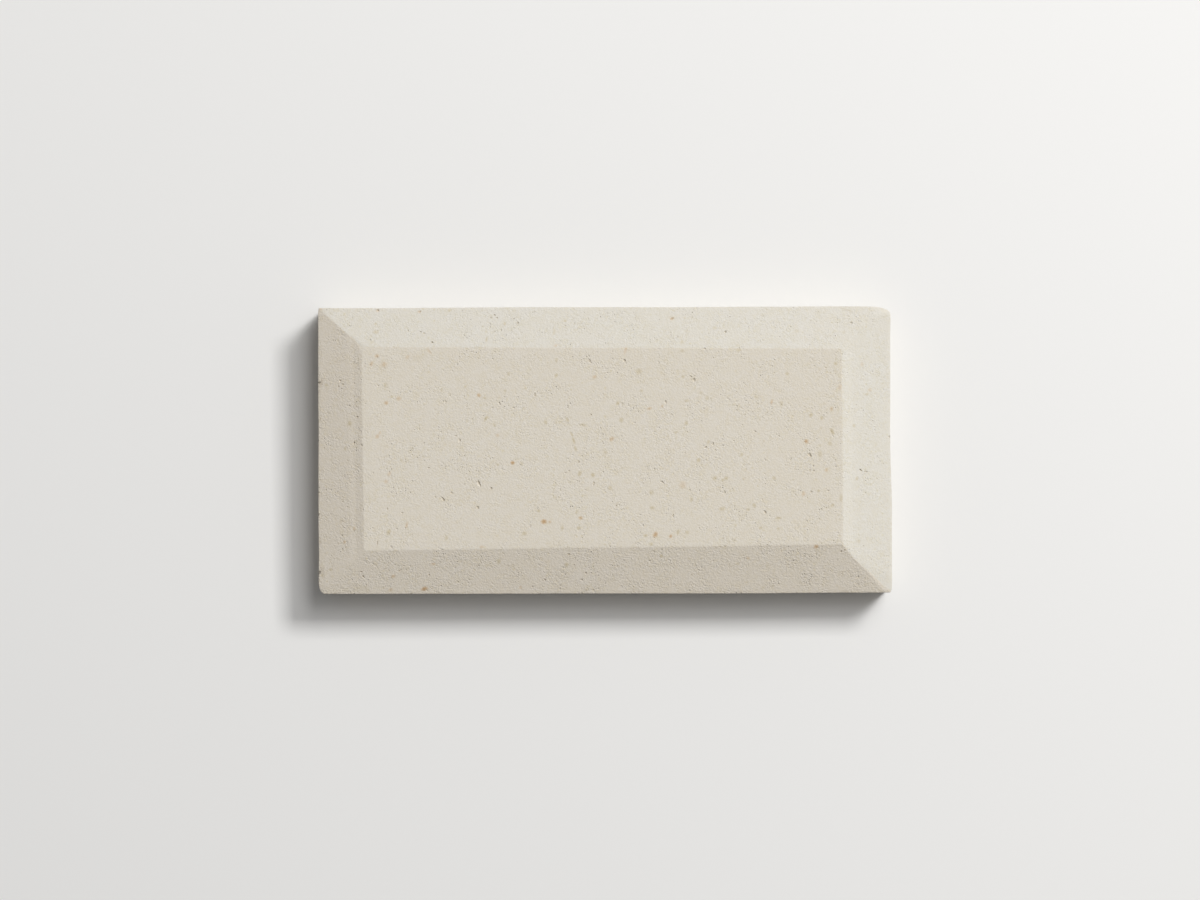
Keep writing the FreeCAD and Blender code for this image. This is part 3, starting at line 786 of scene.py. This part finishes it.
def layBakeMap():
    # the face gets the upper half, the back and the four sides share the lower half
    mesh = tile.data
    corners = numbersOf(mesh.loops, "vertex_index").astype(int).ravel()
    counts = numbersOf(mesh.polygons, "loop_total").astype(int).ravel()
    x, y, z = (numbersOf(mesh.vertices, "co", 3)[corners] / mm).T
    middle = np.repeat(numbersOf(mesh.polygons, "center", 3) / mm, counts, axis=0)
    normal = np.repeat(numbersOf(mesh.polygons, "normal", 3), counts, axis=0)
    full = bakeMap["width"] / (2 * halfLong)
    part = full * bakeMap["smaller"]
    across = bakeMap["edge"] + (x + halfLong) * full
    up = bakeMap["faceBase"] + (y + halfShort) * full
    isBack = middle[:, 2] < bakeMap["seam"]
    isSide = ~isBack & (middle[:, 2] < lowestEdge - bakeMap["seam"])
    isLong = isSide & (abs(normal[:, 1]) > abs(normal[:, 0]))
    isShort = isSide & ~isLong
    across = np.where(isBack | isLong, bakeMap["edge"] + (x + halfLong) * part, across)
    across = np.where(isShort, bakeMap["shortEdge"] + (y + halfShort) * part, across)
    up = np.where(isBack, bakeMap["backBase"] + (y + halfShort) * part, up)
    second = np.where(isLong, normal[:, 1] > 0, normal[:, 0] > 0)
    firstBase, secondBase = bakeMap["sideBases"]
    up = np.where(isSide, np.where(second, secondBase, firstBase) + z * part, up)
    layer = mesh.uv_layers.new(name="OFBake")
    layer.uv.foreach_set("vector", np.stack([across, up], 1).astype(np.float32).ravel())


lumpMeshes, pitDirtAndShades, stains = cutMarks()
cutTile(lumpMeshes)
paintMarks(pitDirtAndShades, stains)
layBakeMap()
print("tile with pits:", sum(len(face.vertices) - 2 for face in tile.data.polygons), "triangles")

# Fine beige limestone, matte and honed. Sizes of the pattern are mm.
stoneLook = {
    "colour": (0.648, 0.602, 0.526),
    "warm": (0.634, 0.58, 0.487),
    "straw": (0.6, 0.53, 0.385),
    "light": (0.71, 0.672, 0.605),
    "tan": (0.52, 0.448, 0.308),
    "rust": (0.54, 0.392, 0.232),
    "rustCore": (0.41, 0.255, 0.135),
    # brown of the pores, and of the dirt and painted shade in the pits
    "dirtAndShade": (0.37, 0.295, 0.195),
    "driftSize": 34,
    "cloudSize": 3.0,
    "grainSize": 0.52,
    "gritSize": 0.2,
    "clusterSize": 4.5,   # patches of coarser and finer grain
    "wormSize": (1.7, 1.4),  # the short curly streaks, straw ones and light ones
    "wormShare": (0.42, 0.3),
    "freckleSize": 1.5,   # spacing of the pale straw freckles
    "freckleRadius": (0.2, 0.55),
    "fleckSize": 3.0,     # spacing of the faint tan flecks
    "fleckRadius": (0.25, 0.62),
    "fleckShare": 0.5,
    "poreSize": 0.62,     # spacing of the finest pores
    "poreRadius": (0.12, 0.3),
    "poreShare": 0.24,
    "pitDirtAndShadeShare": 0.5,   # of brown dirt and painted shade in the pits
    "grainHeight": 0.128,  # relief of the grain, the grit, the pores and the saw lines
    "gritHeight": 0.035,
    "poreDepth": 0.19,
    "sawHeight": 0.07,
    "sides": (0.79, 0.768, 0.73),  # the sawn sides and back are a little darker than the honed face
    "paintedFootShade": 0.7,       # painted shade: the sides darken to this share towards the back, where they stand on the floor
    "sawSpacing": 0.45,   # of the saw's faint lines on them
    "roughness": 0.66,
    "roughnessSpread": 0.06,
    "specular": 0.3,
}


def addNode(tree, kind, inputs, settings=()):
    # node with its settings made and its sockets filled from a value or another socket
    made = tree.nodes.new("ShaderNode" + kind)
    for name, value in dict(settings).items():
        setattr(made, name, value)
    for name, value in inputs.items():
        if isinstance(value, bpy.types.NodeSocket):
            tree.links.new(value, made.inputs[name])
        else:
            made.inputs[name].default_value = value
    return made


def noiseAt(tree, place, size, detail=2.0, roughness=0.5):
    made = addNode(tree, "TexNoise", {"Vector": place, "Scale": 1 / size, "Detail": detail,
                                      "Roughness": roughness})
    return made.outputs["Fac"]


def remap(tree, value, low, high, start, end):
    made = addNode(tree, "MapRange", {"Value": value, "From Min": low, "From Max": high, "To Min": start,
                                      "To Max": end})
    return made.outputs[0]


def blend(tree, amount, a, b, kind="MIX"):
    made = addNode(tree, "Mix", {0: amount, 6: a, 7: b}, {"data_type": "RGBA", "blend_type": kind})
    return made.outputs[2]


def arithmetic(tree, kind, a, b):
    return addNode(tree, "Math", {0: a, 1: b}, {"operation": kind}).outputs[0]


def times(tree, a, b):
    return arithmetic(tree, "MULTIPLY", a, b)


def scatter(tree, place, size, radius, kept):
    # soft dots, one to a Voronoi cell, where the cell's chance is above what is kept
    cells = addNode(tree, "TexVoronoi", {"Vector": place, "Scale": 1 / size, "Randomness": 1.0})
    chance = addNode(tree, "SeparateColor", {0: cells.outputs["Color"]})
    spread = remap(tree, chance.outputs[1], 0, 1, radius[0] / size, radius[1] / size)
    dot = addNode(tree, "MapRange", {"Value": cells.outputs["Distance"], "From Min": spread, "From Max": 0.0,
                                     "To Min": 0.0, "To Max": 1.0}, {"interpolation_type": "SMOOTHSTEP"})
    weight = remap(tree, chance.outputs[0], kept, 1, 0, 1)
    return times(tree, dot.outputs[0], weight)


def buildStone():
    stone = bpy.data.materials.new("limestone")
    stone.use_nodes = True
    tree = stone.node_tree
    shader = tree.nodes["Principled BSDF"]
    where = tree.nodes.new("ShaderNodeTexCoord")
    inMm = (1 / mm, 1 / mm, 1 / mm)
    place = addNode(tree, "Mapping", {"Vector": where.outputs["Object"], "Scale": inMm}).outputs[0]
    names = ("colour", "warm", "straw", "light", "tan", "rust", "dirtAndShade")
    pale, warm, straw, light, tan, rust, dirtAndShade = [(*stoneLook[name], 1) for name in names]

    drift = noiseAt(tree, place, stoneLook["driftSize"], 2.0)
    cloud = noiseAt(tree, place, stoneLook["cloudSize"], 3.0, 0.55)
    grain = noiseAt(tree, place, stoneLook["grainSize"], 3.0, 0.6)
    grit = noiseAt(tree, place, stoneLook["gritSize"], 1.0)
    cluster = noiseAt(tree, place, stoneLook["clusterSize"], 2.0)
    patch = remap(tree, cluster, 0.36, 0.66, 0.6, 1.4)
    coarse = times(tree, arithmetic(tree, "SUBTRACT", grain, 0.5), patch)

    tone = blend(tree, remap(tree, cloud, 0.36, 0.68, 0.0, 0.8), pale, warm)
    tone = blend(tree, remap(tree, drift, 0.3, 0.7, 0.0, 0.35), tone, warm)
    for size, colour, share in zip(stoneLook["wormSize"], (straw, light), stoneLook["wormShare"]):
        wave = arithmetic(tree, "SUBTRACT", noiseAt(tree, place, size, 2.0, 0.6), 0.5)
        streak = remap(tree, arithmetic(tree, "ABSOLUTE", wave, 0), 0.0, 0.05, share, 0.0)
        tone = blend(tree, times(tree, streak, patch), tone, colour)
    freckles = scatter(tree, place, stoneLook["freckleSize"], stoneLook["freckleRadius"], 0.25)
    tone = blend(tree, freckles, tone, straw)
    flecks = scatter(tree, place, stoneLook["fleckSize"], stoneLook["fleckRadius"], 0.45)
    tone = blend(tree, times(tree, flecks, stoneLook["fleckShare"]), tone, tan)
    shade = remap(tree, coarse, -0.25, 0.25, 0.97, 1.03)
    shade = times(tree, shade, remap(tree, grit, 0.25, 0.75, 0.99, 1.01))
    pores = scatter(tree, place, stoneLook["poreSize"], stoneLook["poreRadius"], 0.45)
    pores = times(tree, pores, remap(tree, cluster, 0.44, 0.62, 0.1, 1.0))
    tone = blend(tree, 1.0, tone, shade, "MULTIPLY")
    tone = blend(tree, times(tree, pores, stoneLook["poreShare"]), tone, dirtAndShade)
    # painted light: each bevel's colour cast, read from its attribute
    paintedLightTone = addNode(tree, "Attribute", {}, {"attribute_name": "paintedLightCast"}).outputs["Vector"]
    tone = blend(tree, 1.0, tone, paintedLightTone, "MULTIPLY")
    facing = addNode(tree, "SeparateXYZ", {0: where.outputs["Normal"]}).outputs["Z"]
    sawn = remap(tree, facing, 0.2, 0.8, 1.0, 0.0)
    lines = 1 / stoneLook["sawSpacing"]
    sideLines = addNode(tree, "Mapping", {"Vector": place, "Scale": (0.03, 0.03, lines)}).outputs[0]
    backLines = addNode(tree, "Mapping", {"Vector": place, "Scale": (0.02, lines, 0)}).outputs[0]
    under = remap(tree, facing, -0.8, -0.4, 1.0, 0.0)
    stroke = blend(tree, under, noiseAt(tree, sideLines, 1, 2.0), noiseAt(tree, backLines, 1, 2.0))
    stroke = times(tree, arithmetic(tree, "SUBTRACT", stroke, 0.5), sawn)
    tone = blend(tree, sawn, tone, (*stoneLook["sides"], 1), "MULTIPLY")
    level = addNode(tree, "SeparateXYZ", {0: place}).outputs["Z"]
    # painted shade: the sides and back grow darker towards the floor
    paintedFootShade = remap(tree, level, 0.0, lowestEdge, stoneLook["paintedFootShade"], 1.0)
    tone = blend(tree, sawn, tone, paintedFootShade, "MULTIPLY")
    tone = blend(tree, 1.0, tone, remap(tree, stroke, -0.5, 0.5, 0.94, 1.06), "MULTIPLY")
    # stains, then brown dirt and painted shade deepening into the pits
    for name, colour in (("tan", tan), ("rust", rust), ("pitDirtAndShade", dirtAndShade)):
        mark = addNode(tree, "Attribute", {}, {"attribute_name": name}).outputs["Fac"]
        if name == "pitDirtAndShade":
            amount = times(tree, mark, stoneLook["pitDirtAndShadeShare"])
        else:
            amount = times(tree, mark, remap(tree, grain, 0.3, 0.6, 0.85, 1.2))
        tone = blend(tree, amount, tone, colour)
        if name == "rust":
            core = remap(tree, amount, 0.45, 1.0, 0.0, 0.7)
            tone = blend(tree, core, tone, (*stoneLook["rustCore"], 1))
    tree.links.new(tone, shader.inputs["Base Color"])

    middle, spread = stoneLook["roughness"], stoneLook["roughnessSpread"]
    rough = remap(tree, grain, 0.25, 0.75, middle - spread, middle + spread)
    tree.links.new(rough, shader.inputs["Roughness"])
    shader.inputs["Specular IOR Level"].default_value = stoneLook["specular"]
    height = times(tree, coarse, stoneLook["grainHeight"])
    fine = times(tree, grit, stoneLook["gritHeight"])
    height = arithmetic(tree, "ADD", height, fine)
    sunk = times(tree, pores, stoneLook["poreDepth"])
    height = arithmetic(tree, "SUBTRACT", height, sunk)
    skin = addNode(tree, "Attribute", {}, {"attribute_name": "coarse"}).outputs["Fac"]
    height = times(tree, height, skin)
    ridges = times(tree, stroke, stoneLook["sawHeight"])
    height = arithmetic(tree, "ADD", height, ridges)
    relief = addNode(tree, "Bump", {"Height": height, "Distance": mm, "Strength": 1.0})
    tree.links.new(relief.outputs[0], shader.inputs["Normal"])
    return stone


tile.data.materials.clear()
tile.data.materials.append(buildStone())
tile.data.polygons.foreach_set("material_index", [0] * len(tile.data.polygons))
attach(tile, "root")
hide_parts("tile")
print("limestone ready")

# Pale floor, three soft lamps up to the right and an even surround
studio = {
    "floorColour": (0.795, 0.788, 0.773),
    "floorSize": 6.0,               # m
    "floorRoughness": 0.9,
    "floorSpecular": 0.1,
    "lamps": (                      # place and size in m, share of the light on the floor
        ("farBox", (1.72, 1.68, 2.0), (1.0, 1.02), 0.485),
        ("nearBox", (0.72, 1.42, 2.0), (0.85, 1.8), 0.175),
        ("topBox", (0.7, 0.62, 2.0), (0.9, 1.1), 0.13),
    ),
    "horizon": 0.6,                 # strength of the surround low down and overhead
    "overhead": 0.17,
    "backdrop": (0.82, 0.815, 0.805),
}


def buildFloor():
    half = studio["floorSize"] / 2
    mesh = bpy.data.meshes.new("floor")
    corners = [(-half, -half, 0), (half, -half, 0), (half, half, 0), (-half, half, 0)]
    mesh.from_pydata(corners, [], [(0, 1, 2, 3)])
    floor = bpy.data.objects.new("floor", mesh)
    bpy.context.collection.objects.link(floor)
    paper = bpy.data.materials.new("paleFloor")
    paper.use_nodes = True
    shader = paper.node_tree.nodes["Principled BSDF"]
    shader.inputs["Base Color"].default_value = (*studio["floorColour"], 1)
    shader.inputs["Roughness"].default_value = studio["floorRoughness"]
    shader.inputs["Specular IOR Level"].default_value = studio["floorSpecular"]
    mesh.materials.append(paper)


def buildLight():
    # soft boxes hung level, facing straight down
    for name, place, size, share in studio["lamps"]:
        lamp = bpy.data.lights.new(name, "AREA")
        lamp.shape = "RECTANGLE"
        lamp.size, lamp.size_y = size
        reach = Vector(place).length
        lamp.energy = share * (math.pi * reach) ** 2 / (place[2] / reach) ** 2
        softBox = bpy.data.objects.new(name, lamp)
        softBox.location = place
        bpy.context.collection.objects.link(softBox)

    world = bpy.data.worlds.new("surround")
    bpy.context.scene.world = world
    world.use_nodes = True
    tree = world.node_tree
    tree.nodes.clear()
    out = tree.nodes.new("ShaderNodeOutputWorld")
    seen = addNode(tree, "Background", {"Color": (*studio["backdrop"], 1)})
    way = tree.nodes.new("ShaderNodeTexCoord")
    height = addNode(tree, "SeparateXYZ", {0: way.outputs["Generated"]}).outputs["Z"]
    strength = remap(tree, height, 0.0, 0.55, studio["horizon"], studio["overhead"])
    even = addNode(tree, "Background", {"Color": (1, 1, 1, 1), "Strength": strength})
    path = tree.nodes.new("ShaderNodeLightPath")
    direct = path.outputs["Is Camera Ray"]
    for kind in ("Is Glossy Ray", "Is Transmission Ray"):
        direct = arithmetic(tree, "MAXIMUM", direct, path.outputs[kind])
    choose = addNode(tree, "MixShader", {0: direct, 1: even.outputs[0], 2: seen.outputs[0]})
    tree.links.new(choose.outputs[0], out.inputs["Surface"])


def buildCamera():
    data = bpy.data.cameras.new("camera")
    data.lens = photo["lens"]
    data.sensor_width = photo["sensor"]
    data.clip_start, data.clip_end = 0.05, 20
    width = photo["size"][0] / photo["pixelsPerMm"]
    distance = width * photo["lens"] / photo["sensor"]
    camera = bpy.data.objects.new("camera", data)
    aside, upward = onTile(photo["size"][0] / 2, photo["size"][1] / 2)
    camera.location = Vector((aside, upward, edgeLevel + distance)) * mm
    bpy.context.collection.objects.link(camera)
    bpy.context.scene.camera = camera


buildFloor()
buildLight()
buildCamera()
bpy.context.scene.view_settings.view_transform = "Standard"
print("studio ready")
